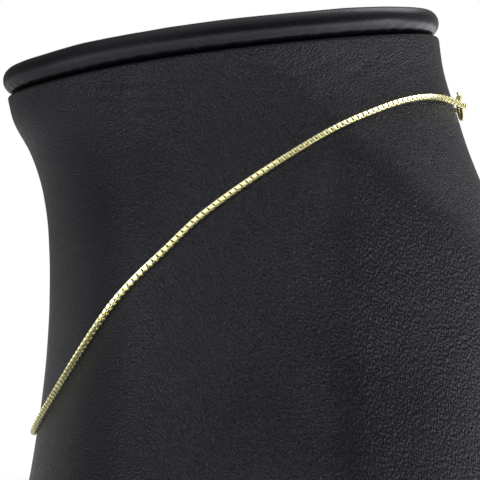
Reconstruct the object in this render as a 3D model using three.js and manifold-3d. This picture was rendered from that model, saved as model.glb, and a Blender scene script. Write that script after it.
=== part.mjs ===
import * as THREE from 'three'
import { mergeVertices } from 'three/addons/utils/BufferGeometryUtils.js'
import Module from 'manifold-3d'

// A gold box chain necklace with a spring ring clasp, on a neck bust covered in black leatherette.
// Millimetres, +Z up, the chest towards -Y and the nape towards +Y, origin on the floor under the bust.

const wasm = await Module()
wasm.setup()

// Neck bust
const neckTopHeight = 199 // middle of the neck's upper edge above the floor
const neckTopTilt = 8 // degrees, the upper edge slants down to the front
const neckHalfWidth = 42 // at the upper edge
const shoulderHalfWidth = 88 // at the base
const widestLine = 12 // how far the bust's widest line lies in front of its middle
const throatReach = 53.1 // hollow of the throat in front of the middle
const topFlare = 12.6 // how far the upper edge stands out past the throat
const chestFlare = 21.5 // how far the chest stands out past the throat
const napeReach = 56.1 // upper edge behind the middle
const backFlare = 26.5 // how far the back stands out past the nape's upper edge

// Cap on the neck
const capSeam = 0.3 // open seam between neck and cap
const capThickness = 7.4
const capOverhang = 0.6 // past the neck's upper edge
const capCrown = 0.8 // rise of the padded top in its middle

// Box chain
const chainWidth = 1.4 // across the flats of a box link
const chainCornerCut = 0.25
const chainRest = 0.3 // between the chain and the leatherette
const chainEndGap = 0.3 // between the chain's last link and its jump ring

// Jump rings
const jumpRadius = 1.3 // to the middle of the wire
const jumpWire = 0.52 // wire diameter

// Spring ring clasp
const ringRadius = 3 // to the middle of the tube
const ringTube = 1.4 // tube diameter
const ringBore = 0.96 // bore of the tube, where the bolt slides
const ringLean = 8 // degrees, the ring leans back from upright
const boltWire = 0.64 // bolt diameter
const eyeRadius = 0.75 // to the middle of the eye's wire
const eyeWire = 0.5
const eyeSolder = 0.12 // how deep the eye's wire sits in the tube
const linkPlay = 0.12 // between two rings that hold each other
const nearMouth = 112 // degrees round the ring, the tube's end that the bolt comes out of
const farMouth = 152 // the tube's end that the bolt closes on
const boltTip = 156 // the closed bolt's tip, inside the far mouth
const boltTail = 14
const boltTravel = 46 // degrees that the knob can be pulled back
const knobAngle = 82 // the closed bolt's knob
const knobStem = 0.44 // stem diameter
const knobSize = 0.86 // head diameter
const slotPlay = 0.1 // on each side of the knob's stem
const claspRise = 0.908 // the clasp's middle on the nape, as a share of the neck's height

// Faceting
const bustSides = 56
const capRollSteps = 8
const routeStations = 40 // on each side of the bust
const chainSteps = 80
const ringSteps = 48
const jumpSteps = 28
const boltSteps = 24
const wireSides = 10

// Sections of the bust from the floor to the upper edge: rise is the share of the height and tilt the
// share of the upper edge's slant; spread, lip, chest and back are shares of the half-width's growth and
// of the top, chest and back flares; taper narrows the section to its front, and pinch to its back.
const bustSections = [
  { rise: 0, tilt: 0, spread: 1, lip: 0, chest: 1, back: 0.87, taper: 0.06, pinch: 0 },
  { rise: 0.1, tilt: 0, spread: 1, lip: 0, chest: 0.94, back: 0.91, taper: 0.08, pinch: 0 },
  { rise: 0.2, tilt: 0, spread: 0.92, lip: 0, chest: 0.76, back: 0.96, taper: 0.12, pinch: 0 },
  { rise: 0.3, tilt: 0, spread: 0.77, lip: 0, chest: 0.52, back: 1, taper: 0.17, pinch: 0 },
  { rise: 0.4, tilt: 0, spread: 0.6, lip: 0, chest: 0.3, back: 1, taper: 0.22, pinch: 0 },
  { rise: 0.48, tilt: 0, spread: 0.47, lip: 0, chest: 0.17, back: 0.97, taper: 0.25, pinch: 0.01 },
  { rise: 0.56, tilt: 0, spread: 0.36, lip: 0, chest: 0.07, back: 0.91, taper: 0.27, pinch: 0.02 },
  { rise: 0.63, tilt: 0, spread: 0.29, lip: 0, chest: 0.02, back: 0.83, taper: 0.28, pinch: 0.04 },
  { rise: 0.7, tilt: 0, spread: 0.24, lip: 0, chest: 0, back: 0.73, taper: 0.28, pinch: 0.06 },
  { rise: 0.755, tilt: 0.19, spread: 0.2, lip: 0.02, chest: 0, back: 0.61, taper: 0.27, pinch: 0.07 },
  { rise: 0.805, tilt: 0.36, spread: 0.15, lip: 0.08, chest: 0, back: 0.46, taper: 0.26, pinch: 0.08 },
  { rise: 0.855, tilt: 0.52, spread: 0.09, lip: 0.22, chest: 0, back: 0.3, taper: 0.24, pinch: 0.09 },
  { rise: 0.905, tilt: 0.68, spread: 0.03, lip: 0.47, chest: 0, back: 0.17, taper: 0.22, pinch: 0.1 },
  { rise: 0.955, tilt: 0.85, spread: 0, lip: 0.83, chest: 0, back: 0.05, taper: 0.2, pinch: 0.11 },
  { rise: 1, tilt: 1, spread: 0, lip: 1, chest: 0, back: 0, taper: 0.18, pinch: 0.12 }
]

// The chain's way over the bust, chosen by eye: degrees round from the chest's middle and share of the
// bust's height. Both sides are alike.
const chainRoute = [
  { turn: 0, rise: 0.482 },
  { turn: 10, rise: 0.492 },
  { turn: 21, rise: 0.514 },
  { turn: 31, rise: 0.546 },
  { turn: 48, rise: 0.612 },
  { turn: 65, rise: 0.682 },
  { turn: 80, rise: 0.738 },
  { turn: 91, rise: 0.784 },
  { turn: 103, rise: 0.836 },
  { turn: 115, rise: 0.876 },
  { turn: 126, rise: 0.898 },
  { turn: 138, rise: 0.914 },
  { turn: 150, rise: 0.919 },
  { turn: 160, rise: 0.917 }
]

function smoothSection (rise) {
  const last = bustSections.length - 2
  const found = bustSections.findIndex(row => row.rise > rise) - 1
  const index = found < 0 ? last : found
  const before = bustSections[Math.max(index - 1, 0)]
  const start = bustSections[index]
  const end = bustSections[index + 1]
  const after = bustSections[Math.min(index + 2, last + 1)]
  const span = end.rise - start.rise
  const t = (rise - start.rise) / span
  const section = {}
  for (const name of ['tilt', 'spread', 'lip', 'chest', 'back', 'taper', 'pinch']) {
    const startSlope = (end[name] - before[name]) / (end.rise - before.rise) * span
    const endSlope = (after[name] - start[name]) / (after.rise - start.rise) * span
    section[name] = (2 * t ** 3 - 3 * t ** 2 + 1) * start[name] + (t ** 3 - 2 * t ** 2 + t) * startSlope +
      (3 * t ** 2 - 2 * t ** 3) * end[name] + (t ** 3 - t ** 2) * endSlope
  }
  return section
}

// A point of the bust's skin: turn in radians from the chest's middle towards +X
function bustPoint (turn, rise) {
  const section = smoothSection(rise)
  const halfWidth = neckHalfWidth + section.spread * (shoulderHalfWidth - neckHalfWidth)
  const front = throatReach + section.lip * topFlare + section.chest * chestFlare - widestLine
  const behind = napeReach + section.back * backFlare + widestLine
  const along = Math.cos(turn)
  const narrowing = 1 - (along > 0 ? section.taper : section.pinch) * along ** 2
  const across = halfWidth * Math.sin(turn) * narrowing
  const back = -widestLine - along * (along > 0 ? front : behind)
  const slant = THREE.MathUtils.degToRad(neckTopTilt * section.tilt)
  return new THREE.Vector3(across, back * Math.cos(slant), rise * neckTopHeight + back * Math.sin(slant))
}

function bustNormal (turn, rise) {
  const step = 0.002
  const round = bustPoint(turn + step, rise).sub(bustPoint(turn - step, rise))
  const up = bustPoint(turn, rise + step).sub(bustPoint(turn, rise - step))
  return round.cross(up).normalize()
}

function gold () {
  return new THREE.MeshStandardMaterial({ color: '#e6c98a', roughness: 0.2, metalness: 1 })
}

function piece (name, geometry, material) {
  const mesh = new THREE.Mesh(geometry, material)
  mesh.name = name
  return mesh
}

// A closed drum with one ring of points for each row, placed by place(turn, row). The first and last row
// have share 0 and close it.
function bentDrum (rows, sides, place) {
  const drum = new THREE.LatheGeometry(rows.map((row, index) => new THREE.Vector2(row.share, index)), sides)
  const position = drum.getAttribute('position')
  const point = new THREE.Vector3()
  for (let index = 0; index < position.count; index++) {
    point.fromBufferAttribute(position, index)
    const spot = place(Math.atan2(point.x, point.z), rows[Math.round(point.y)])
    position.setXYZ(index, spot.x, spot.y, spot.z)
  }
  drum.computeVertexNormals()
  return drum
}

function bustBody () {
  const rims = bustSections.flatMap((row, index) => {
    const next = bustSections[index + 1]
    const between = next ? [{ share: 1, rise: (row.rise + next.rise) / 2 }] : []
    return [{ share: 1, rise: row.rise }, ...between]
  })
  const rows = [{ share: 0, rise: 0 }, ...rims, { share: 0, rise: 1 }]
  const geometry = bentDrum(rows, bustSides, (turn, row) => {
    const middle = new THREE.Vector3(0, 0, row.rise * neckTopHeight)
    return middle.lerp(bustPoint(turn, row.rise), row.share)
  })
  return piece('bust_body', geometry, new THREE.MeshStandardMaterial({ color: '#2f2f35', roughness: 0.6 }))
}

// The cap follows the neck's upper edge in a plane of the same slant. Its edge is a half round roll.
function bustCap () {
  const roll = capThickness / 2
  const slant = THREE.MathUtils.degToRad(neckTopTilt)
  const up = new THREE.Vector3(0, -Math.sin(slant), Math.cos(slant))
  const rows = [{ share: 0, height: 0, inset: roll }]
  for (let step = 0; step <= capRollSteps; step++) {
    const angle = Math.PI * (step / capRollSteps - 0.5)
    rows.push({ share: 1, height: roll + roll * Math.sin(angle), inset: roll - roll * Math.cos(angle) })
  }
  for (const share of [0.7, 0.4, 0]) {
    rows.push({ share, height: capThickness + capCrown * (1 - share ** 2), inset: roll })
  }
  const geometry = bentDrum(rows, bustSides, (turn, row) => {
    const rim = bustPoint(turn, 1)
    const outward = bustPoint(turn + 0.01, 1).sub(bustPoint(turn - 0.01, 1)).cross(up).normalize()
    const edge = rim.addScaledVector(outward, capOverhang - row.inset)
    const middle = new THREE.Vector3(0, 0, neckTopHeight)
    return middle.lerp(edge, row.share).addScaledVector(up, capSeam + row.height)
  })
  return piece('bust_cap', geometry, new THREE.MeshStandardMaterial({ color: '#26262b', roughness: 0.5 }))
}

// The clasp stands upright at the nape. In its group x runs towards the necklace's far side, y up the nape
// and z away from it. The jump rings lie across it, in the xz plane.
const ringEdge = ringRadius + ringTube / 2
const jumpEdge = jumpRadius + jumpWire / 2
const hookCentre = ringRadius - ringTube / 2 - linkPlay - jumpWire / 2 + jumpRadius
const eyeCentre = ringEdge - eyeSolder + eyeWire / 2 + eyeRadius
const endCentre = eyeCentre + eyeRadius - eyeWire / 2 - linkPlay - jumpWire / 2 + jumpRadius

function claspFrame () {
  const lean = THREE.MathUtils.degToRad(ringLean)
  const across = new THREE.Vector3(-1, 0, 0)
  const upward = new THREE.Vector3(0, -Math.sin(lean), Math.cos(lean))
  const outward = new THREE.Vector3(0, Math.cos(lean), Math.sin(lean))
  const group = new THREE.Group()
  const lift = jumpEdge + chainRest
  group.position.copy(bustPoint(Math.PI, claspRise)).addScaledVector(bustNormal(Math.PI, claspRise), lift)
  group.quaternion.setFromRotationMatrix(new THREE.Matrix4().makeBasis(across, upward, outward))
  group.updateMatrixWorld(true)
  return group
}

// The chain's path keeps a flat side of its section against the bust
class ChainPath extends THREE.CatmullRomCurve3 {
  constructor (points, normals) {
    super(points)
    this.normalLine = new THREE.CatmullRomCurve3(normals)
  }

  computeFrenetFrames (segments) {
    const frames = { tangents: [], normals: [], binormals: [] }
    for (let step = 0; step <= segments; step++) {
      const share = step / segments
      const tangent = this.getTangentAt(share)
      const normal = this.normalLine.getPoint(this.getUtoTmapping(share))
      normal.addScaledVector(tangent, -normal.dot(tangent)).normalize()
      frames.tangents.push(tangent)
      frames.normals.push(normal)
      frames.binormals.push(tangent.clone().cross(normal))
    }
    return frames
  }
}

// From the hooked jump ring round the chest to the jump ring in the clasp's eye
function chain (clasp) {
  const half = chainWidth / 2
  const route = new THREE.SplineCurve(chainRoute.map(stop => new THREE.Vector2(stop.turn, stop.rise)))
  const outward = new THREE.Vector3(0, 0, 1).transformDirection(clasp.matrixWorld)
  const alongClasp = x => clasp.localToWorld(new THREE.Vector3(x, 0, 0))
  const hookEnd = -hookCentre - jumpEdge - chainEndGap
  const eyeEnd = endCentre + jumpEdge + chainEndGap
  const points = [alongClasp(hookEnd), alongClasp(hookEnd - chainWidth)]
  const normals = [outward, outward]
  for (let station = routeStations; station >= -routeStations; station--) {
    const stop = route.getPoint(Math.abs(station) / routeStations)
    const turn = THREE.MathUtils.degToRad(stop.x) * Math.sign(station)
    const normal = bustNormal(turn, stop.y)
    points.push(bustPoint(turn, stop.y).addScaledVector(normal, chainRest + half))
    normals.push(normal)
  }
  points.push(alongClasp(eyeEnd + chainWidth), alongClasp(eyeEnd))
  normals.push(outward, outward)
  const flat = half - chainCornerCut
  const section = new THREE.Shape([[half, flat], [flat, half], [-flat, half], [-half, flat],
    [-half, -flat], [-flat, -half], [flat, -half], [half, -flat]].map(corner => new THREE.Vector2(...corner)))
  const extrudePath = new ChainPath(points, normals)
  return piece('chain', new THREE.ExtrudeGeometry(section, { steps: chainSteps, extrudePath }), gold())
}

function jumpRing (name, centre) {
  const ring = piece(name, new THREE.TorusGeometry(jumpRadius, jumpWire / 2, wireSides, jumpSteps), gold())
  ring.position.x = centre
  ring.rotation.x = Math.PI / 2
  return ring
}

function solidOf (geometry) {
  const bare = geometry.clone()
  bare.deleteAttribute('normal')
  bare.deleteAttribute('uv')
  const merged = mergeVertices(bare)
  const vertProperties = new Float32Array(merged.getAttribute('position').array)
  const triVerts = new Uint32Array(merged.index.array)
  return new wasm.Manifold(new wasm.Mesh({ numProp: 3, vertProperties, triVerts }))
}

function geometryOf (solid) {
  const mesh = solid.getMesh()
  const geometry = new THREE.BufferGeometry()
  geometry.setAttribute('position', new THREE.BufferAttribute(new Float32Array(mesh.vertProperties), 3))
  geometry.setIndex(new THREE.BufferAttribute(new Uint32Array(mesh.triVerts), 1))
  geometry.computeVertexNormals()
  return geometry
}

// A flat sector between two angles in degrees and two radii, centred on the ring's plane
function sector (fromAngle, toAngle, innerRadius, outerRadius, depth) {
  const start = THREE.MathUtils.degToRad(fromAngle)
  const end = THREE.MathUtils.degToRad(toAngle)
  const shape = new THREE.Shape()
  shape.absarc(0, 0, outerRadius, start, end, false)
  shape.absarc(0, 0, innerRadius, end, start, true)
  const geometry = new THREE.ExtrudeGeometry(shape, { depth, bevelEnabled: false, curveSegments: wireSides })
  return geometry.translate(0, 0, -depth / 2)
}

// The hollow ring with its mouth, the slot for the knob and the soldered eye
function claspRing () {
  const slotHalf = knobStem / 2 + slotPlay
  const slotEnd = THREE.MathUtils.radToDeg(slotHalf / ringEdge)
  const innerRadius = ringRadius - ringTube
  const outerRadius = ringRadius + ringTube
  const tube = solidOf(new THREE.TorusGeometry(ringRadius, ringTube / 2, wireSides, ringSteps))
  const bore = solidOf(new THREE.TorusGeometry(ringRadius, ringBore / 2, wireSides, ringSteps))
  const mouth = solidOf(sector(nearMouth, farMouth, innerRadius, outerRadius, 2 * ringTube))
  const slot = solidOf(sector(knobAngle - boltTravel - slotEnd, knobAngle + slotEnd, ringRadius, outerRadius,
    2 * slotHalf))
  const eye = new THREE.TorusGeometry(eyeRadius, eyeWire / 2, wireSides, jumpSteps)
  const ring = tube.add(solidOf(eye.translate(eyeCentre, 0, 0))).subtract(bore).subtract(mouth).subtract(slot)
  return piece('clasp_ring', geometryOf(ring), gold())
}

// Closed at rest: the bolt crosses the mouth. It slides back round the ring by boltTravel.
class RingArc extends THREE.Curve {
  getPoint (share) {
    const angle = THREE.MathUtils.degToRad(THREE.MathUtils.lerp(boltTail, boltTip, share))
    return new THREE.Vector3(ringRadius * Math.cos(angle), ringRadius * Math.sin(angle), 0)
  }
}

function claspBolt () {
  const section = new THREE.Shape()
  section.absarc(0, 0, boltWire / 2, 0, 2 * Math.PI, false)
  const options = { steps: boltSteps, curveSegments: wireSides / 2, extrudePath: new RingArc() }
  const wire = solidOf(new THREE.ExtrudeGeometry(section, options))
  const headCentre = ringEdge + slotPlay + knobSize / 2
  const stemLength = headCentre - ringRadius
  const stem = new THREE.CylinderGeometry(knobStem / 2, knobStem / 2, stemLength, wireSides)
  stem.translate(0, ringRadius + stemLength / 2, 0)
  const head = new THREE.SphereGeometry(knobSize / 2, wireSides, wireSides)
  head.translate(0, headCentre, 0)
  const aside = THREE.MathUtils.degToRad(knobAngle - 90)
  const knob = solidOf(stem.rotateZ(aside)).add(solidOf(head.rotateZ(aside)))
  return piece('clasp_bolt', geometryOf(wire.add(knob)), gold())
}

const clasp = claspFrame()
clasp.add(jumpRing('hook_ring', -hookCentre), jumpRing('end_ring', endCentre), claspRing(), claspBolt())

const necklaceOnBust = new THREE.Group()
necklaceOnBust.add(bustBody(), bustCap(), chain(clasp), clasp)

export default necklaceOnBust
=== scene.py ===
import functools
import math
import random

import bmesh
import bpy
from mathutils import Matrix, Vector, noise
from mathutils.geometry import interpolate_bezier


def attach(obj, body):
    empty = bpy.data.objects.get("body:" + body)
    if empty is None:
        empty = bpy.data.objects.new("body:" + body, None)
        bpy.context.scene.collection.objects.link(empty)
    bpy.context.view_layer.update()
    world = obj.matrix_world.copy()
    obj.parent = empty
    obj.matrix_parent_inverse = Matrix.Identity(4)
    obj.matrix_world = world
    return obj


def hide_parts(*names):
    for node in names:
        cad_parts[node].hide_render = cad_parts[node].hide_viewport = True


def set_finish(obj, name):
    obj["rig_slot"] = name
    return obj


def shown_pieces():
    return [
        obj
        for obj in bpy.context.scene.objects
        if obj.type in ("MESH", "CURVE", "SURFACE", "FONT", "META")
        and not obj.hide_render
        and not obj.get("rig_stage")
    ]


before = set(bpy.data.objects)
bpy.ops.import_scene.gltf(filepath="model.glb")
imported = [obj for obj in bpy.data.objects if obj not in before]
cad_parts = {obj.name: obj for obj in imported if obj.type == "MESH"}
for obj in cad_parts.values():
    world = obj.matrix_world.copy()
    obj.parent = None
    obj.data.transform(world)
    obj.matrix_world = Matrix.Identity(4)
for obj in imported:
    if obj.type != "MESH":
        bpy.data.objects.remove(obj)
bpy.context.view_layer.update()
mm = 0.001
random.seed(14)


def colour(hexCode):
    # sRGB hex to linear
    shares = [int(hexCode[i:i + 2], 16) / 255 for i in (1, 3, 5)]
    return [s / 12.92 if s <= 0.04045 else ((s + 0.055) / 1.055) ** 2.4 for s in shares] + [1]


def addNode(tree, kind, inputs=None, stops=None, **settings):
    node = tree.nodes.new(kind)
    for name, value in settings.items():
        setattr(node, name, value)
    for name, value in (inputs or {}).items():
        if isinstance(value, bpy.types.NodeSocket):
            tree.links.new(value, node.inputs[name])
        else:
            node.inputs[name].default_value = value
    for index, (place, shade) in enumerate(stops or []):
        ramp = node.color_ramp.elements
        stop = ramp[index] if index < len(ramp) else ramp.new(place)
        stop.position, stop.color = place, shade
    return node


def newMaterial(name):
    material = bpy.data.materials.new(name)
    material.use_nodes = True
    material.node_tree.nodes.clear()
    return material, material.node_tree


def finishMaterial(tree, shader):
    addNode(tree, "ShaderNodeOutputMaterial", {"Surface": shader.outputs[0]})


def smoothStep(low, high, value):
    share = min(max((value - low) / (high - low), 0), 1)
    return share * share * (3 - 2 * share)


def finishPiece(name, bm, materials, body, nodes, slotName):
    bmesh.ops.recalc_face_normals(bm, faces=bm.faces[:])
    mesh = bpy.data.meshes.new(name)
    bm.to_mesh(mesh)
    bm.free()
    mesh.shade_smooth()
    for material in materials:
        mesh.materials.append(material)
    piece = bpy.data.objects.new(name, mesh)
    bpy.context.scene.collection.objects.link(piece)
    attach(piece, body)
    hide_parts(*nodes)
    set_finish(piece, slotName)
    return piece


# Leatherette: PU film on knitted backing, embossed with a fine pebble grain. It is near black and its
# grey comes from the gloss on the grain, so it brightens towards grazing angles.
leatherette = {
    "film": "#0a0a0e",
    "filmWorn": "#111116",
    "glossTint": "#eeeffe",
    "roughness": 0.24,
    "grainSize": 0.42,  # mm
    "grainDepth": 0.33,  # mm
    "poreSize": 0.26,
    "poreDepth": 0.04,
    "wrinkleSize": 2.6,
    "wrinkleStretch": 3.2,
    "wrinkleDepth": 0.16,
    "sway": 0.5,  # how far the rows of pebbles wander, in pebbles
    "swayRate": 0.7,
    "unevenSize": 34,  # mm, patches where the embossing stands deeper or shallower
    "unevenRelief": (0.6, 1.1),
    "dullBetween": 0.14,  # added roughness between the pebbles
    # the way that the sheet was pulled turns steeper towards the nape, and leans back below the cap there:
    # degrees, and the stretch of a pebble
    "pulls": [(-10, 1.7), (-46, 2.1), (-74, 2.3), (46, 2.3)],
    # each next pull takes over between two distances along a direction, mm
    "turnsBetween": [((0, 1, 0), -32, -18), ((0, 1, 0), 20, 34), ((0, 0.64, 0.77), 148, 162)],
    "smoothThroat": (-62, -14),  # mm: over the throat the film is stretched nearly smooth
    "throatRelief": 0.4,
}


def embossedLeatherette(name, spec, grainShare, wrinkleShare):
    material, tree = newMaterial(name)
    place = addNode(tree, "ShaderNodeTexCoord").outputs["Object"]
    towards = addNode(tree, "ShaderNodeSeparateXYZ", {"Vector": place})

    def pulled(angle, stretch, size):
        return addNode(tree, "ShaderNodeMapping", {
            "Vector": place, "Rotation": (math.radians(angle), 0, 0),
            "Scale": (size * mm, size * stretch * mm, size * mm)}, vector_type="TEXTURE").outputs[0]

    def blended(patterns):
        mixed = patterns[0]
        for pattern, (direction, near, far) in zip(patterns[1:], spec["turnsBetween"]):
            along = addNode(tree, "ShaderNodeVectorMath", {0: place, 1: direction}, operation="DOT_PRODUCT")
            share = addNode(tree, "ShaderNodeMapRange", {
                "Value": along.outputs["Value"], "From Min": near * mm, "From Max": far * mm},
                interpolation_type="SMOOTHSTEP")
            mixed = addNode(tree, "ShaderNodeMix", {"Factor": share.outputs[0], "A": mixed, "B": pattern},
                            data_type="FLOAT").outputs["Result"]
        return mixed

    pebbles, wrinkles = [], []
    for angle, stretch in spec["pulls"]:
        lean = pulled(angle, stretch, spec["grainSize"])
        sway = addNode(tree, "ShaderNodeTexNoise", {"Vector": lean, "Scale": spec["swayRate"], "Detail": 1})
        swayed = addNode(tree, "ShaderNodeVectorMath", {
            0: sway.outputs["Color"], 1: [spec["sway"]] * 3, 2: lean}, operation="MULTIPLY_ADD")
        cell = addNode(tree, "ShaderNodeTexVoronoi", {"Vector": swayed.outputs[0], "Scale": 1}, feature="F1")
        fall = addNode(tree, "ShaderNodeMath", {0: cell.outputs["Distance"], 1: 2}, operation="POWER")
        pebbles.append(addNode(tree, "ShaderNodeMath", {0: 1, 1: fall.outputs[0]},
                               operation="SUBTRACT").outputs[0])
        wrinkles.append(addNode(tree, "ShaderNodeTexNoise", {
            "Vector": pulled(angle, spec["wrinkleStretch"], spec["wrinkleSize"]),
            "Scale": 1, "Detail": 2, "Roughness": 0.55}).outputs["Fac"])
    pebble, wrinkle = blended(pebbles), blended(wrinkles)
    uneven = addNode(tree, "ShaderNodeTexNoise", {
        "Vector": place, "Scale": 1 / (spec["unevenSize"] * mm), "Detail": 2})
    relief = addNode(tree, "ShaderNodeMapRange", {
        "Value": uneven.outputs["Fac"], "From Min": 0.35, "From Max": 0.65,
        "To Min": spec["unevenRelief"][0], "To Max": spec["unevenRelief"][1]})
    throat = addNode(tree, "ShaderNodeMapRange", {
        "Value": towards.outputs["Y"], "From Min": spec["smoothThroat"][0] * mm,
        "From Max": spec["smoothThroat"][1] * mm, "To Min": spec["throatRelief"]},
        interpolation_type="SMOOTHSTEP")
    depth = addNode(tree, "ShaderNodeMath", {0: relief.outputs[0], 1: throat.outputs[0]},
                    operation="MULTIPLY")
    grain = addNode(tree, "ShaderNodeMath", {0: pebble, 1: depth.outputs[0]}, operation="MULTIPLY")
    pore = addNode(tree, "ShaderNodeTexNoise", {
        "Vector": place, "Scale": 1 / (spec["poreSize"] * mm), "Detail": 1})
    wrinkleBump = addNode(tree, "ShaderNodeBump", {
        "Height": wrinkle, "Distance": spec["wrinkleDepth"] * mm * wrinkleShare})
    grainBump = addNode(tree, "ShaderNodeBump", {
        "Height": grain.outputs[0], "Distance": spec["grainDepth"] * mm * grainShare,
        "Normal": wrinkleBump.outputs[0]})
    poreBump = addNode(tree, "ShaderNodeBump", {
        "Height": pore.outputs["Fac"], "Distance": spec["poreDepth"] * mm * grainShare,
        "Normal": grainBump.outputs[0]})
    film = addNode(tree, "ShaderNodeMix", {
        "Factor": uneven.outputs["Fac"], "A": colour(spec["film"]), "B": colour(spec["filmWorn"])},
        data_type="RGBA")
    gloss = addNode(tree, "ShaderNodeMapRange", {
        "Value": pebble, "From Min": 0.5,
        "To Min": spec["roughness"] + spec["dullBetween"], "To Max": spec["roughness"]})
    finishMaterial(tree, addNode(tree, "ShaderNodeBsdfPrincipled", {
        "Base Color": film.outputs["Result"], "Roughness": gloss.outputs[0], "IOR": 1.5,
        "Specular Tint": colour(spec["glossTint"]), "Normal": poreBump.outputs[0]}))
    return material


# Black wool felt under the base: dull, with short matted fibres
felt = {
    "dark": "#0c0c0d",
    "light": "#232324",
    "fibreSize": 0.6,  # mm
    "nap": 0.2,  # mm
}


def baseFelt(spec):
    material, tree = newMaterial("black wool felt")
    place = addNode(tree, "ShaderNodeTexCoord").outputs["Object"]
    fibre = addNode(tree, "ShaderNodeTexNoise", {
        "Vector": place, "Scale": 1 / (spec["fibreSize"] * mm), "Detail": 4, "Distortion": 1.5})
    shade = addNode(tree, "ShaderNodeMix", {
        "Factor": fibre.outputs["Fac"], "A": colour(spec["dark"]), "B": colour(spec["light"])},
        data_type="RGBA")
    nap = addNode(tree, "ShaderNodeBump", {"Height": fibre.outputs["Fac"], "Distance": spec["nap"] * mm})
    finishMaterial(tree, addNode(tree, "ShaderNodeBsdfPrincipled", {
        "Base Color": shade.outputs["Result"], "Roughness": 0.95, "Normal": nap.outputs[0]}))
    return material


# 14 ct yellow gold, die-struck and barrel polished: pale lemon, mirror-like, with hairline wear
gold = {
    "bright": "#f7f2c1",
    "warm": "#f3ecb3",
    "toneSize": 1.6,  # mm, patches of slightly warmer metal
    "roughness": 0.14,
    "wear": 0.12,  # added roughness where it is rubbed
    "hairlineSize": 0.12,  # mm
    "hairlineDepth": 0.0015,
}


def polishedGold(name, spec):
    material, tree = newMaterial(name)
    place = addNode(tree, "ShaderNodeTexCoord").outputs["Object"]
    patch = addNode(tree, "ShaderNodeTexNoise", {
        "Vector": place, "Scale": 1 / (spec["toneSize"] * mm), "Detail": 2})
    tone = addNode(tree, "ShaderNodeMix", {
        "Factor": patch.outputs["Fac"], "A": colour(spec["bright"]), "B": colour(spec["warm"])},
        data_type="RGBA")
    hairline = addNode(tree, "ShaderNodeTexNoise", {
        "Vector": place, "Scale": 1 / (spec["hairlineSize"] * mm), "Detail": 3})
    wear = addNode(tree, "ShaderNodeMapRange", {
        "Value": hairline.outputs["Fac"], "From Min": 0.3, "From Max": 0.75,
        "To Min": spec["roughness"], "To Max": spec["roughness"] + spec["wear"]})
    scuff = addNode(tree, "ShaderNodeBump", {
        "Height": hairline.outputs["Fac"], "Distance": spec["hairlineDepth"] * mm})
    finishMaterial(tree, addNode(tree, "ShaderNodeBsdfPrincipled", {
        "Base Color": tone.outputs["Result"], "Metallic": 1, "Roughness": wear.outputs[0],
        "Normal": scuff.outputs[0]}))
    return material


skinLeatherette = embossedLeatherette("embossed PU leatherette", leatherette, 1, 1)
# over the cap's foam the sheet is pulled nearly smooth
capLeatherette = embossedLeatherette("PU leatherette stretched over foam", leatherette, 0.08, 0.16)
feltUnderside = baseFelt(felt)
yellowGold = polishedGold("polished 14 ct yellow gold", gold)
print("materials made")

# The bust's shape, mm and degrees. rise is the share of the height, tilt the share of the upper edge's
# slant, the next four are shares of the half-width's growth and of the flares, and the last two narrow
# the section to its front and back.
bust = {
    "neckTopHeight": 199,
    "neckTopTilt": 8,
    "neckHalfWidth": 42,
    "shoulderHalfWidth": 88,
    "widestLine": 12,
    "throatReach": 53.1,
    "topFlare": 12.6,
    "chestFlare": 21.5,
    "napeReach": 56.1,
    "backFlare": 26.5,
    "columns": ("rise", "tilt", "spread", "lip", "chest", "back", "taper", "pinch"),
    "sections": [
        (0, 0, 1, 0, 1, 0.87, 0.06, 0),
        (0.1, 0, 1, 0, 0.94, 0.91, 0.08, 0),
        (0.2, 0, 0.92, 0, 0.76, 0.96, 0.12, 0),
        (0.3, 0, 0.77, 0, 0.52, 1, 0.17, 0),
        (0.4, 0, 0.6, 0, 0.3, 1, 0.22, 0),
        (0.48, 0, 0.47, 0, 0.17, 0.97, 0.25, 0.01),
        (0.56, 0, 0.36, 0, 0.07, 0.91, 0.27, 0.02),
        (0.63, 0, 0.29, 0, 0.02, 0.83, 0.28, 0.04),
        (0.7, 0, 0.24, 0, 0, 0.73, 0.28, 0.06),
        (0.755, 0.19, 0.2, 0.02, 0, 0.61, 0.27, 0.07),
        (0.805, 0.36, 0.15, 0.08, 0, 0.46, 0.26, 0.08),
        (0.855, 0.52, 0.09, 0.22, 0, 0.3, 0.24, 0.09),
        (0.905, 0.68, 0.03, 0.47, 0, 0.17, 0.22, 0.1),
        (0.955, 0.85, 0, 0.83, 0, 0.05, 0.2, 0.11),
        (1, 1, 0, 1, 0, 0, 0.18, 0.12),
    ],
    "sides": 384,
    "wallRows": 206,
    "edgeRows": 5,
    "rowGather": 1.3,  # more than 1 gathers the rows towards the creased upper edge
    "baseRound": 1.6,  # radius of the base's edge
    "topRound": 1.1,
    "swells": [(26, 0.1), (9, 0.05)],  # size, height
}


@functools.lru_cache(maxsize=None)
def smoothSection(rise):
    rows = bust["sections"]
    index = max([i for i, row in enumerate(rows[:-1]) if row[0] <= rise] or [0])
    before, start = rows[max(index - 1, 0)], rows[index]
    end, after = rows[index + 1], rows[min(index + 2, len(rows) - 1)]
    span = end[0] - start[0]
    t = (rise - start[0]) / span
    section = {}
    for column, name in enumerate(bust["columns"]):
        startSlope = (end[column] - before[column]) / (end[0] - before[0]) * span
        endSlope = (after[column] - start[column]) / (after[0] - start[0]) * span
        section[name] = ((2 * t ** 3 - 3 * t ** 2 + 1) * start[column]
                         + (t ** 3 - 2 * t ** 2 + t) * startSlope
                         + (3 * t ** 2 - 2 * t ** 3) * end[column] + (t ** 3 - t ** 2) * endSlope)
    return section


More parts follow.
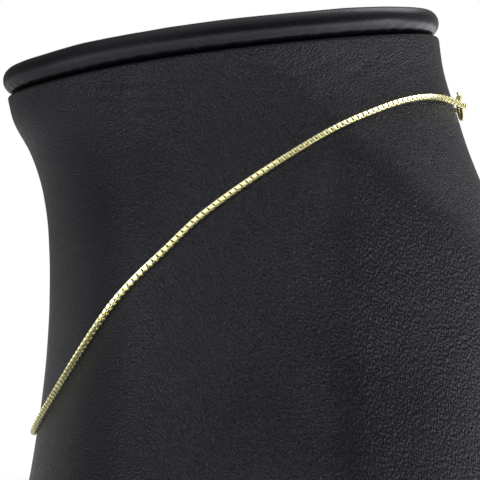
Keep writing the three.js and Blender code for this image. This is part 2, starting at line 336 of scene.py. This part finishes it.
def bustPoint(turn, rise):
    # turn in radians from the chest's middle towards +X
    section = smoothSection(rise)
    growth = bust["shoulderHalfWidth"] - bust["neckHalfWidth"]
    halfWidth = bust["neckHalfWidth"] + section["spread"] * growth
    front = (bust["throatReach"] + section["lip"] * bust["topFlare"] + section["chest"] * bust["chestFlare"]
             - bust["widestLine"])
    behind = bust["napeReach"] + section["back"] * bust["backFlare"] + bust["widestLine"]
    along = math.cos(turn)
    frontShare = (1 + math.sin(along * math.pi / 2)) / 2
    reach = behind + (front - behind) * frontShare
    narrowing = (section["pinch"] + (section["taper"] - section["pinch"]) * frontShare) * along ** 2
    back = -bust["widestLine"] - along * reach
    slant = math.radians(bust["neckTopTilt"]) * section["tilt"]
    return Vector((halfWidth * math.sin(turn) * (1 - narrowing), back * math.cos(slant),
                   rise * bust["neckTopHeight"] + back * math.sin(slant))) * mm


def bustNormal(turn, rise):
    step = 0.002
    around = bustPoint(turn + step, rise) - bustPoint(turn - step, rise)
    up = bustPoint(turn, min(rise + step, 1)) - bustPoint(turn, max(rise - step, 0))
    return around.cross(up).normalized()


neckSlant = math.radians(bust["neckTopTilt"])
neckUp = Vector((0, -math.sin(neckSlant), math.cos(neckSlant)))


def rimOutward(turn):
    step = 0.01
    return (bustPoint(turn + step, 1) - bustPoint(turn - step, 1)).cross(neckUp).normalized()


# Creases in the leatherette. Ends are (degrees round, share of the height), the rest is mm;
# bow is how far the middle hangs below the straight line.
creases = [
    {"start": (60, 0.985), "end": (92, 0.968), "bow": 1.2, "width": 0.9, "depth": 0.16},
    {"start": (58, 0.966), "end": (84, 0.95), "bow": 0.8, "width": 0.9, "depth": 0.13},
    {"start": (66, 0.948), "end": (88, 0.93), "bow": 0.5, "width": 0.8, "depth": 0.1},
    {"start": (100, 0.985), "end": (114, 0.966), "bow": 0.6, "width": 0.7, "depth": 0.2},
    {"start": (104, 0.972), "end": (117, 0.952), "bow": 0.4, "width": 0.7, "depth": 0.16},
    {"start": (112, 0.955), "end": (128, 0.985), "bow": 0.8, "width": 0.8, "depth": 0.14},
    {"start": (118, 0.94), "end": (136, 0.975), "bow": 0.8, "width": 0.8, "depth": 0.12},
    {"start": (128, 0.938), "end": (150, 0.968), "bow": 0.9, "width": 0.9, "depth": 0.14},
    {"start": (200, 0.95), "end": (226, 0.978), "bow": 0.9, "width": 0.9, "depth": 0.15},
    {"start": (238, 0.96), "end": (262, 0.976), "bow": 0.7, "width": 0.8, "depth": 0.14},
    {"start": (272, 0.972), "end": (298, 0.984), "bow": 1, "width": 0.9, "depth": 0.15},
    {"start": (-38, 0.975), "end": (-12, 0.985), "bow": 1, "width": 0.9, "depth": 0.12},
]


def creaseLift(spec, turn, rise):
    # height of the skin in mm over a groove with a low bank on each side; it wavers along its way
    mmPerDegree, height = 0.95, bust["neckTopHeight"]
    waver, waverRate, waverSeed = 0.6, 0.35, 90 * spec["depth"]
    bankShare, bankWidths, reachWidths = 0.45, 2, 5
    startX, startY = spec["start"][0] * mmPerDegree, spec["start"][1] * height
    alongX = spec["end"][0] * mmPerDegree - startX
    alongY = spec["end"][1] * height - startY
    length = math.hypot(alongX, alongY)
    away = ((math.degrees(turn) - spec["start"][0] + 180) % 360 - 180) * mmPerDegree
    up = rise * height - startY
    share = (away * alongX + up * alongY) / length ** 2
    if not 0 < share < 1:
        return 0
    side = (up * alongX - away * alongY) / length + spec["bow"] * 4 * share * (1 - share)
    side += waver * noise.noise(Vector((away * waverRate, up * waverRate, waverSeed)))
    if abs(side) > reachWidths * spec["width"]:
        return 0
    groove = math.exp(-(side / spec["width"]) ** 2)
    bank = bankShare * math.exp(-((abs(side) - bankWidths * spec["width"]) / spec["width"]) ** 2)
    return spec["depth"] * math.sin(math.pi * share) * (bank - groove)


def swellAt(point, swells):
    return sum(height * noise.noise(point / mm / size) for size, height in swells)


def skinLift(turn, rise):
    # the sheet isn't quite even: low swells all over, dying out at the base's edge
    swell = swellAt(bustPoint(turn, rise), bust["swells"]) * smoothStep(0, 0.04, rise)
    return swell + sum(creaseLift(spec, turn, rise) for spec in creases)


def closedGrid(columns, rows, place):
    # a sheet of columns round and rows up, bent by place(turn, row) and closed at its seam and poles
    bm = bmesh.new()
    bmesh.ops.create_grid(bm, x_segments=columns, y_segments=rows, size=0.5)
    for vert in bm.verts:
        vert.co = place(2 * math.pi * (vert.co.x + 0.5), round((vert.co.y + 0.5) * rows))
    bmesh.ops.remove_doubles(bm, verts=bm.verts[:], dist=0.002 * mm)
    return bm


def makeBustSkin():
    height, edgeRows, wallRows = bust["neckTopHeight"], bust["edgeRows"], bust["wallRows"]
    lowRise, highRise = bust["baseRound"] / height, 1 - bust["topRound"] / height
    rows = []
    for step in range(edgeRows):
        angle = math.pi / 2 * (1 - step / edgeRows)
        rows.append((lowRise * (1 - math.sin(angle)), bust["baseRound"] * (1 - math.cos(angle))))
    for step in range(wallRows + 1):
        share = 1 - (1 - step / wallRows) ** bust["rowGather"]
        rows.append((lowRise + (highRise - lowRise) * share, 0))
    for step in range(1, edgeRows + 1):
        angle = math.pi / 2 * step / edgeRows
        rows.append((highRise + (1 - highRise) * math.sin(angle), bust["topRound"] * (1 - math.cos(angle))))

    def place(turn, row):
        rise, inset = rows[row]
        point = bustPoint(turn, rise)
        point += bustNormal(turn, rise) * skinLift(turn, rise) * mm
        return point - rimOutward(turn) * inset * mm

    bm = closedGrid(bust["sides"], len(rows) - 1, place)
    rims = [edge for edge in bm.edges if edge.is_boundary]
    lids = bmesh.ops.holes_fill(bm, edges=rims)["faces"]
    for lid in lids:
        lid.material_index = 1 if lid.calc_center_median().z < 1 * mm else 0
    finishPiece("bustSkin", bm, [skinLeatherette, feltUnderside], "display", ["bust_body"], "leatherette")


makeBustSkin()
print("bust covered")

# The padded cap: foam with a half-round edge, covered in the same leatherette drawn under it
cap = {
    "seam": 0.3,
    "thickness": 7.4,
    "overhang": 0.6,
    "crown": 0.8,
    "sides": 320,
    "rollRows": 30,
    "topRows": 26,
    "underRows": 8,
    "gathers": 64,  # pleats of the cover drawn under the edge
    "gatherDepth": 0.12,
    "gathersFade": (0.1, 0.42),  # shares of the thickness: they end before the widest line of the roll
    "swells": [(17, 0.16), (6, 0.05)],  # size, height
    "fill": 0.9,
}


def makeCap():
    roll = cap["thickness"] / 2
    rows = [{"share": step / cap["underRows"], "height": 0, "inset": roll}
            for step in range(cap["underRows"])]
    for step in range(cap["rollRows"] + 1):
        angle = math.pi * (step / cap["rollRows"] - 0.5)
        rows.append({"share": 1, "height": roll * (1 + math.sin(angle)),
                     "inset": roll * (1 - math.cos(angle))})
    for step in range(1, cap["topRows"] + 1):
        share = 1 - step / cap["topRows"]
        rows.append({"share": share, "height": cap["thickness"] + cap["crown"] * (1 - share ** 2),
                     "inset": roll})

    def place(turn, index):
        row = rows[index]
        outward = rimOutward(turn)
        edge = bustPoint(turn, 1) + outward * (cap["overhang"] - row["inset"]) * mm
        middle = Vector((0, 0, bust["neckTopHeight"] * mm))
        point = middle.lerp(edge, row["share"]) + neckUp * (cap["seam"] + row["height"]) * mm
        under = 1 - smoothStep(*cap["gathersFade"], row["height"] / cap["thickness"])
        # uneven spacing and depth of the gathers
        swing = noise.noise(Vector((math.cos(turn) * 3, math.sin(turn) * 3, 4)))
        pleat = math.sin(turn * cap["gathers"] + 7 * swing) * cap["gatherDepth"] * under * (0.6 + swing)
        lift = (pleat + swellAt(point, cap["swells"])) * row["share"] ** 2
        normal = (outward * math.cos(math.pi * (row["height"] / cap["thickness"] - 0.5))
                  + neckUp * (2 * row["height"] / cap["thickness"] - 1)).normalized()
        if row["height"] == 0:
            lift = min(lift, 0.1)  # the flat underside stays inside the seam
        return point + normal * lift * mm

    bm = closedGrid(cap["sides"], len(rows) - 1, place)
    piece = finishPiece("capPad", bm, [capLeatherette], "display", ["bust_cap"], "leatherette")


makeCap()
print("cap padded")

# The clasp's frame on the nape: x towards the necklace's far side, y up the nape, z away from it
clasp = {
    "rise": 0.908,
    "lean": 8,
    "ringRadius": 3,  # to the middle of the tube
    "tube": 1.4,
    "bore": 0.96,
    "mouth": (112, 152),  # degrees round the ring
    "slot": (30, 88),
    "slotSpread": 30,  # degrees round the tube, on each side of its outermost line
    "boltWire": 0.64,
    "bolt": (14, 156),
    "knobAngle": 82,
    "knobStem": 0.44,
    "knobHead": 0.86,
    "knobLift": 0.1,  # the head's height over the ring
    "boltTipRound": 0.09,
    "tubeEdgeRound": 0.035,
    "jumpEndRound": 0.03,
    "eyeRadius": 0.75,
    "eyeWire": 0.5,
    "solder": 0.12,
    "solderBead": 0.3,
    "solderBeadShape": (0.55, 1.45, 1),
    "jumpRadius": 1.3,
    "jumpWire": 0.52,
    "jumpSlit": 2.4,  # degrees, the butt joint of a jump ring
    "play": 0.12,
    "chainRest": 0.3,
    "tubeSides": 24,
    "ringStep": 2,  # degrees
}
ringEdge = clasp["ringRadius"] + clasp["tube"] / 2
jumpEdge = clasp["jumpRadius"] + clasp["jumpWire"] / 2
hookCentre = (clasp["ringRadius"] - clasp["tube"] / 2 - clasp["play"] - clasp["jumpWire"] / 2
              + clasp["jumpRadius"])
eyeCentre = ringEdge - clasp["solder"] + clasp["eyeWire"] / 2 + clasp["eyeRadius"]
endCentre = (eyeCentre + clasp["eyeRadius"] - clasp["eyeWire"] / 2 - clasp["play"] - clasp["jumpWire"] / 2
             + clasp["jumpRadius"])
leanAngle = math.radians(clasp["lean"])
claspAcross = Vector((-1, 0, 0))
claspUp = Vector((0, -math.sin(leanAngle), math.cos(leanAngle)))
claspOut = Vector((0, math.cos(leanAngle), math.sin(leanAngle)))
claspMiddle = (bustPoint(math.pi, clasp["rise"])
               + bustNormal(math.pi, clasp["rise"]) * (jumpEdge + clasp["chainRest"]) * mm)
claspFrame = (Matrix.Translation(claspMiddle)
              @ Matrix((claspAcross, claspUp, claspOut)).transposed().to_4x4() @ Matrix.Scale(mm, 4))


def spunWire(bm, radius, wire, start, end, step, bore=0):
    # a wire or tube of round section bent round the z axis, in mm: a closed ring, or an arc with flat ends
    full = end - start == 360
    section = (Matrix.Rotation(math.radians(start), 4, "Z") @ Matrix.Translation((radius, 0, 0))
               @ Matrix.Rotation(math.pi / 2, 4, "X"))
    verts = bmesh.ops.create_circle(bm, cap_ends=not full, segments=clasp["tubeSides"], radius=wire / 2,
                                    matrix=section)["verts"]
    faces = list({face for vert in verts for face in vert.link_faces})
    if bore:
        wall = bmesh.ops.inset_individual(bm, faces=faces, thickness=(wire - bore) / 2, use_even_offset=True)
        bmesh.ops.delete(bm, geom=faces, context="FACES_ONLY")
        faces = wall["faces"]
        verts = list({vert for face in faces for vert in face.verts})
    edges = list({edge for vert in verts for edge in vert.link_edges})
    bmesh.ops.spin(bm, geom=verts + edges + faces, cent=(0, 0, 0), axis=(0, 0, 1),
                   angle=math.radians(end - start), steps=round((end - start) / step), use_merge=full)


def bevelled(bm, edges, offset, segments):
    bmesh.ops.bevel(bm, geom=edges, offset=offset, offset_type="OFFSET", segments=segments, profile=0.5,
                    affect="EDGES", material=-1, clamp_overlap=True)


def sharpEdges(bm, angle):
    return [edge for edge in bm.edges if edge.is_manifold and edge.calc_face_angle(0) > math.radians(angle)]


def makeJumpRing(name, node, centre, slitAngle):
    bm = bmesh.new()
    half = clasp["jumpSlit"] / 2
    spunWire(bm, clasp["jumpRadius"], clasp["jumpWire"], half, 360 - half, 6)
    bevelled(bm, sharpEdges(bm, 60), clasp["jumpEndRound"], 2)
    bmesh.ops.transform(bm, matrix=claspFrame @ Matrix.Translation((centre, 0, 0))
                        @ Matrix.Rotation(math.pi / 2, 4, "X")
                        @ Matrix.Rotation(math.radians(slitAngle), 4, "Z"), verts=bm.verts)
    finishPiece(name, bm, [yellowGold], "display", [node], "yellow_gold")


def makeClaspRing():
    bm = bmesh.new()
    near, far = clasp["mouth"]
    spunWire(bm, clasp["ringRadius"], clasp["tube"], far, near + 360, clasp["ringStep"], clasp["bore"])
    # the slot for the knob, through the tube's outer side
    cut = []
    for face in bm.faces:
        middle = face.calc_center_median()
        around = math.degrees(math.atan2(middle.y, middle.x)) % 360
        away = math.hypot(middle.x, middle.y) - clasp["ringRadius"]
        aside = abs(math.degrees(math.atan2(middle.z, away)))
        if clasp["slot"][0] < around < clasp["slot"][1] and aside < clasp["slotSpread"]:
            cut.append(face)
    bmesh.ops.delete(bm, geom=cut, context="FACES")
    bmesh.ops.bridge_loops(bm, edges=[edge for edge in bm.edges if edge.is_boundary])
    bmesh.ops.recalc_face_normals(bm, faces=bm.faces[:])
    bevelled(bm, sharpEdges(bm, 50), clasp["tubeEdgeRound"], 2)
    # the soldered eye, and the bead of solder round its foot
    eyeBm = bmesh.new()
    spunWire(eyeBm, clasp["eyeRadius"], clasp["eyeWire"], 0, 360, 8)
    bmesh.ops.translate(eyeBm, vec=(eyeCentre, 0, 0), verts=eyeBm.verts)
    bmesh.ops.create_uvsphere(eyeBm, u_segments=20, v_segments=12, radius=clasp["solderBead"], matrix=(
        Matrix.Translation((ringEdge + 0.01, 0, 0)) @ Matrix.Diagonal((*clasp["solderBeadShape"], 1))))
    eyeMesh = bpy.data.meshes.new("eye")
    eyeBm.to_mesh(eyeMesh)
    eyeBm.free()
    bm.from_mesh(eyeMesh)
    bpy.data.meshes.remove(eyeMesh)
    bmesh.ops.transform(bm, matrix=claspFrame, verts=bm.verts)
    finishPiece("claspRing", bm, [yellowGold], "display", ["clasp_ring"], "yellow_gold")


def makeClaspBolt():
    bm = bmesh.new()
    spunWire(bm, clasp["ringRadius"], clasp["boltWire"], *clasp["bolt"], 2)
    bevelled(bm, sharpEdges(bm, 60), clasp["boltTipRound"], 3)
    turned = Matrix.Rotation(math.radians(clasp["knobAngle"] - 90), 4, "Z")
    headCentre = ringEdge + clasp["knobLift"] + clasp["knobHead"] / 2
    stemLength = headCentre - clasp["ringRadius"]
    bmesh.ops.create_cone(bm, cap_ends=True, segments=20, radius1=clasp["knobStem"] / 2,
                          radius2=clasp["knobStem"] / 2, depth=stemLength, matrix=(
        turned @ Matrix.Translation((0, clasp["ringRadius"] + stemLength / 2, 0))
        @ Matrix.Rotation(math.pi / 2, 4, "X")))
    bmesh.ops.create_uvsphere(bm, u_segments=28, v_segments=18, radius=clasp["knobHead"] / 2, matrix=(
        turned @ Matrix.Translation((0, headCentre, 0)) @ Matrix.Rotation(math.pi / 2, 4, "X")))
    bmesh.ops.transform(bm, matrix=claspFrame, verts=bm.verts)
    finishPiece("claspBolt", bm, [yellowGold], "bolt", ["clasp_bolt"], "yellow_gold")


makeJumpRing("hookRing", "hook_ring", -hookCentre, 70)
makeJumpRing("endRing", "end_ring", endCentre, 115)
makeClaspRing()
makeClaspBolt()
print("clasp made")

# Box chain: square links folded from flat strip, each turned a quarter from the one before
chain = {
    "width": 1.4,
    "pitch": 0.85,  # from link to link
    "wall": 0.21,  # the strip's thickness
    "depth": 0.93,  # the strip's width, just under the inside of a link
    "cornerRound": 0.12,
    "edgeRound": 0.025,
    "rest": 0.3,  # above the leatherette
    "endReach": 1.39,  # from a jump ring's middle to the middle of the first link
    "endGap": 0.3,
    "stations": 40,
    "roll": 15,  # degrees, the chain lies a little on edge, with its outer face turned up
    "levelling": 14,  # links over which it turns flat towards its ends
    "sway": 2.5,  # degrees of slow twist along the chain
    "swayPerLink": 0.071,  # radians of that wave
    "slack": 0.8,  # degrees of play of each link
    "route": [  # degrees round from the chest's middle, share of the height
        (0, 0.482), (10, 0.492), (21, 0.514), (34, 0.548), (54, 0.614), (71, 0.684), (83, 0.738),
        (92, 0.784), (105, 0.836), (118, 0.878), (127, 0.898), (139, 0.914), (150, 0.919), (160, 0.917),
    ],
}


def smoothLine(points, steps):
    # a curve through the points; near each one it runs parallel to the line between its neighbours
    line = []
    for index in range(len(points) - 1):
        before, start, end, after = [points[min(max(index + k, 0), len(points) - 1)] for k in (-1, 0, 1, 2)]
        third = (end - start).length / 3
        line += interpolate_bezier(start, start + (end - before).normalized() * third,
                                   end - (after - start).normalized() * third, end, steps + 1)[:-1]
    return line + [points[-1]]


def spreadEvenly(line, partner, count):
    # count + 1 points at even distances along the line, with the partner list's values there
    walked = [0]
    for start, end in zip(line, line[1:]):
        walked.append(walked[-1] + (end - start).length)
    spots, index = [], 0
    for step in range(count + 1):
        distance = walked[-1] * step / count
        while index < len(line) - 2 and walked[index + 1] < distance:
            index += 1
        share = (distance - walked[index]) / (walked[index + 1] - walked[index])
        spots.append((line[index].lerp(line[index + 1], share),
                      partner[index].lerp(partner[index + 1], share).normalized()))
    return spots, walked[-1]


def chainLine():
    routeSteps, lineSteps = 24, 12
    # degrees round and hundredths of the height, with one mirrored point, so that the line passes
    # the chest's middle level
    route = [Vector((turn, rise * 100, 0)) for turn, rise in chain["route"]]
    mirrored = Vector((-route[1].x, route[1].y, 0))
    routeLine = smoothLine([mirrored] + route, routeSteps)[routeSteps:]
    stops, _ = spreadEvenly(routeLine, routeLine, chain["stations"])

    def alongClasp(x):
        return claspMiddle + claspAcross * x * mm

    hookEnd = -hookCentre - jumpEdge - chain["endGap"]
    eyeEnd = endCentre + jumpEdge + chain["endGap"]
    points = [alongClasp(x) for x in (-hookCentre - chain["endReach"], hookEnd, hookEnd - chain["width"])]
    normals = [claspOut] * 3
    for station in range(chain["stations"], -chain["stations"] - 1, -1):
        stop = stops[abs(station)][0]
        turn, rise = math.radians(stop.x) * (1 if station > 0 else -1), stop.y / 100
        normal = bustNormal(turn, rise)
        points.append(bustPoint(turn, rise) + normal * (chain["rest"] + chain["width"] / 2) * mm)
        normals.append(normal)
    points += [alongClasp(x) for x in (eyeEnd + chain["width"], eyeEnd, endCentre + chain["endReach"])]
    normals += [claspOut] * 3
    partner = [start.lerp(end, step / lineSteps)
               for start, end in zip(normals, normals[1:]) for step in range(lineSteps)]
    return smoothLine(points, lineSteps), partner + [normals[-1]]


def boxLink():
    wall, depth = chain["wall"], chain["depth"]
    bm = bmesh.new()
    bmesh.ops.create_cube(bm, size=1)
    bmesh.ops.scale(bm, vec=(chain["pitch"] + 2 * wall, chain["width"], depth), verts=bm.verts)
    ends = [face for face in bm.faces if abs(face.normal.z) > 0.9]
    corners = [edge for edge in bm.edges if abs(edge.verts[0].co.z - edge.verts[1].co.z) > depth / 2]
    bmesh.ops.inset_individual(bm, faces=ends, thickness=wall, use_even_offset=True)
    inner = [edge for face in ends for edge in face.edges]
    bmesh.ops.delete(bm, geom=ends, context="FACES_ONLY")
    bmesh.ops.bridge_loops(bm, edges=inner)
    bevelled(bm, corners, chain["cornerRound"], 2)
    # only the outer rims are rounded, from where the rounded corners begin
    outerX = chain["pitch"] / 2 + wall - chain["cornerRound"] * 1.1
    outerY = chain["width"] / 2 - chain["cornerRound"] * 1.1
    rims = [edge for edge in sharpEdges(bm, 60)
            if any(abs(vert.co.x) > outerX or abs(vert.co.y) > outerY for vert in edge.verts)]
    bevelled(bm, rims, chain["edgeRound"], 1)
    bmesh.ops.recalc_face_normals(bm, faces=bm.faces[:])
    bmesh.ops.scale(bm, vec=(mm, mm, mm), verts=bm.verts)
    mesh = bpy.data.meshes.new("boxLink")
    bm.to_mesh(mesh)
    bm.free()
    mesh.shade_smooth()
    return mesh


def makeChain():
    line, partner = chainLine()
    _, length = spreadEvenly(line, partner, 2)
    count = 2 * round(length / (2 * chain["pitch"] * mm))  # even, so both end links open to the nape
    spots, length = spreadEvenly(line, partner, count)
    linkMesh = boxLink()
    linkMesh.materials.append(yellowGold)
    piece = bpy.data.objects.new("chainLinks", bpy.data.meshes.new("chainLinks"))
    piece.data.materials.append(yellowGold)
    bpy.context.scene.collection.objects.link(piece)
    links = []
    for index, (spot, normal) in enumerate(spots):
        before, after = spots[max(index - 1, 0)][0], spots[min(index + 1, count)][0]
        along = (after - before).normalized()
        outward = (normal - along * normal.dot(along)).normalized()
        roll = chain["roll"] + chain["sway"] * math.sin(index * chain["swayPerLink"])
        roll += random.gauss(0, chain["slack"])
        roll *= smoothStep(0, chain["levelling"], min(index, count - index))
        quarter = 90 if index % 2 else 0
        frameOf = Matrix((along, outward.cross(along), outward)).transposed().to_4x4()
        link = bpy.data.objects.new("link", linkMesh)
        link.matrix_world = (Matrix.Translation(spot) @ frameOf
                             @ Matrix.Rotation(math.radians(roll + quarter), 4, "X"))
        bpy.context.scene.collection.objects.link(link)
        links.append(link)
    bpy.ops.object.select_all(action="DESELECT")
    for item in links + [piece]:
        item.select_set(True)
    bpy.context.view_layer.objects.active = piece
    bpy.ops.object.join()
    bpy.ops.object.select_all(action="DESELECT")
    bpy.data.meshes.remove(linkMesh)
    crisp = piece.modifiers.new("flat faces stay flat", "WEIGHTED_NORMAL")
    crisp.weight = 100
    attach(piece, "display")
    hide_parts("chain")
    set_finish(piece, "yellow_gold")
    print("chain of", len(links), "links at", round(length / count / mm, 3), "mm,", round(length, 4), "m")


makeChain()

# White sweep: the floor's paper has a painted glow, white emission that is partly mixed in near the bust and
# takes over fully away from it, where it shows plain white
studio = {
    "floorRadius": 3.2,
    "paper": "#f2f3f2",
    "paperTooth": (0.5, 0.03),  # mm, size and depth
    "glow": 0.42,  # share of painted glow in the paper near the bust: emission standing in for light from below
    "glowStrength": 1.05,
    "fadeFrom": 0.3,
    "fadeTo": 0.62,
    "tent": [(0, 0.44), (0.08, 0.4), (0.4, 0.25), (0.7, 0.36), (1, 0.6)],  # height of the direction, grey
    "sheetLight": 1.25,  # the lit sheet in reflections
    # seen from the neck the light falls off towards the left rear and, behind the lens, towards the dark
    # room; the sheet is brightest on the right. A direction, two cosines off it, and the light's shares there
    "leftRear": ((-0.77, -0.64, 0), (0.3, 0.75), (1, 0.36)),
    "darkRoom": ((0.9, 0.4, 0.18), (0.62, 0.95), (1, 0.3)),
    "rightSide": ((-0.1, 0.99, 0), (0.5, 0.95), (1, 2)),
    "cameraPlace": (0.421, 0, 0.15),
    "lens": 112.5,
    "neckMiddle": (0, 0, 0.15),
    "lamps": [
        # name, where from the neck's middle, width, height, brightness, the only pieces that it lights
        ("left front strip box", (1, -0.82, 0), 0.3, 0.3, 6, ["bustSkin"]),
        ("right strip box", (0.25, 1.25, 0.02), 0.3, 0.34, 3.8, None),
        ("right rear softbox", (-0.55, 0.6, 1.1), 0.8, 0.6, 1.8, None),
        ("glint lamp", (0.69, 0.48, 1), 0.16, 0.16, 14, ["bustSkin"]),
        ("card over the lens", (0.55, -0.5, 0.85), 1.2, 1.1, 1, "gold"),
        ("card over the right shoulder", (0.05, 0.9, 0.85), 1.1, 0.9, 6, "gold"),
        ("card at the left", (0.1, -1, 0.4), 0.9, 0.7, 5, "gold"),
        ("card at the left rear", (-0.6, -0.8, 0.1), 0.9, 0.9, 0.8, "gold"),
    ],
}


def lightFrom(tree, direction, level, sides):
    # how much light comes from a direction, by its cosine to some sides of the studio
    for side in sides:
        middle, cosines, shares = studio[side]
        towards = addNode(tree, "ShaderNodeVectorMath", {0: direction, 1: middle}, operation="DOT_PRODUCT")
        share = addNode(tree, "ShaderNodeMapRange", {
            "Value": towards.outputs["Value"], "From Min": cosines[0], "From Max": cosines[1],
            "To Min": shares[0], "To Max": shares[1]}, interpolation_type="SMOOTHSTEP")
        level = addNode(tree, "ShaderNodeMath", {0: share.outputs[0], 1: level},
                        operation="MULTIPLY").outputs[0]
    return level


def makeFloor():
    bm = bmesh.new()
    bmesh.ops.create_circle(bm, cap_ends=True, segments=96, radius=studio["floorRadius"])
    mesh = bpy.data.meshes.new("paperSweep")
    bm.to_mesh(mesh)
    bm.free()
    material, tree = newMaterial("white paper sweep")
    place = addNode(tree, "ShaderNodeTexCoord").outputs["Object"]
    radius = addNode(tree, "ShaderNodeVectorMath", {0: place}, operation="LENGTH")
    fade = addNode(tree, "ShaderNodeMapRange", {
        "Value": radius.outputs["Value"], "From Min": studio["fadeFrom"], "From Max": studio["fadeTo"],
        "To Min": studio["glow"]}, interpolation_type="SMOOTHSTEP")
    toothSize, toothDepth = studio["paperTooth"]
    tooth = addNode(tree, "ShaderNodeTexNoise", {"Vector": place, "Scale": 1 / (toothSize * mm)})
    grain = addNode(tree, "ShaderNodeBump", {"Height": tooth.outputs["Fac"], "Distance": toothDepth * mm})
    paper = addNode(tree, "ShaderNodeBsdfPrincipled", {
        "Base Color": colour(studio["paper"]), "Roughness": 0.9, "Normal": grain.outputs[0]})
    away = addNode(tree, "ShaderNodeVectorMath", {0: place}, operation="NORMALIZE").outputs[0]
    level = lightFrom(tree, away, studio["sheetLight"], ["leftRear", "rightSide"])
    rays = addNode(tree, "ShaderNodeLightPath")
    strength = addNode(tree, "ShaderNodeMix", {
        "Factor": rays.outputs["Is Camera Ray"], "A": level, "B": studio["glowStrength"]}, data_type="FLOAT")
    # the painted glow of the paper: white emission, not a lamp
    white = addNode(tree, "ShaderNodeEmission", {
        "Color": (1, 1, 1, 1), "Strength": strength.outputs["Result"]})
    finishMaterial(tree, addNode(tree, "ShaderNodeMixShader", {
        "Fac": fade.outputs[0], 1: paper.outputs[0], 2: white.outputs[0]}))
    mesh.materials.append(material)
    floor = bpy.data.objects.new("paperSweep", mesh)
    bpy.context.scene.collection.objects.link(floor)
    floor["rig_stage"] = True


def makeSky():
    world = bpy.data.worlds.new("white tent")
    bpy.context.scene.world = world
    world.use_nodes = True
    tree = world.node_tree
    tree.nodes.clear()
    direction = addNode(tree, "ShaderNodeTexCoord").outputs["Generated"]
    height = addNode(tree, "ShaderNodeSeparateXYZ", {"Vector": direction})
    tent = addNode(tree, "ShaderNodeValToRGB", {"Fac": height.outputs["Z"]},
                   stops=[(place, (grey, grey, grey, 1)) for place, grey in studio["tent"]])
    lit = addNode(tree, "ShaderNodeBackground", {
        "Color": tent.outputs["Color"],
        "Strength": lightFrom(tree, direction, 1, ["leftRear", "darkRoom"])})
    seen = addNode(tree, "ShaderNodeBackground", {"Color": (1, 1, 1, 1)})
    rays = addNode(tree, "ShaderNodeLightPath")
    mixed = addNode(tree, "ShaderNodeMixShader", {
        "Fac": rays.outputs["Is Camera Ray"], 1: lit.outputs[0], 2: seen.outputs[0]})
    addNode(tree, "ShaderNodeOutputWorld", {"Surface": mixed.outputs[0]})


def makeLamps():
    # the cards would grey the leatherette, so they are flagged off it and light the gold alone
    goldPieces = [piece.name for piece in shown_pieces() if piece.get("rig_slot") == "yellow_gold"]
    for name, place, width, height, brightness, only in studio["lamps"]:
        light = bpy.data.lights.new(name, "AREA")
        light.shape, light.size, light.size_y = "RECTANGLE", width, height
        light.energy = brightness * math.pi * width * height
        lamp = bpy.data.objects.new(name, light)
        lamp.location = Vector(studio["neckMiddle"]) + Vector(place)
        lamp.rotation_euler = (-Vector(place)).to_track_quat("-Z", "Y").to_euler()
        lamp.visible_camera = False
        bpy.context.scene.collection.objects.link(lamp)
        if only:
            lit = bpy.data.collections.new(name + " lights")
            for piece in goldPieces if only == "gold" else only:
                lit.objects.link(bpy.data.objects[piece])
            lamp.light_linking.receiver_collection = lit


def makeCamera():
    camera = bpy.data.objects.new("camera", bpy.data.cameras.new("camera"))
    camera.location = studio["cameraPlace"]
    camera.rotation_euler = (math.pi / 2, 0, math.pi / 2)
    camera.data.sensor_width, camera.data.lens = 36, studio["lens"]
    camera.data.clip_start, camera.data.clip_end = 0.01, 20
    bpy.context.scene.collection.objects.link(camera)
    bpy.context.scene.camera = camera


makeFloor()
makeSky()
makeLamps()
makeCamera()
bpy.context.scene.view_settings.view_transform = "Standard"
print("studio set")
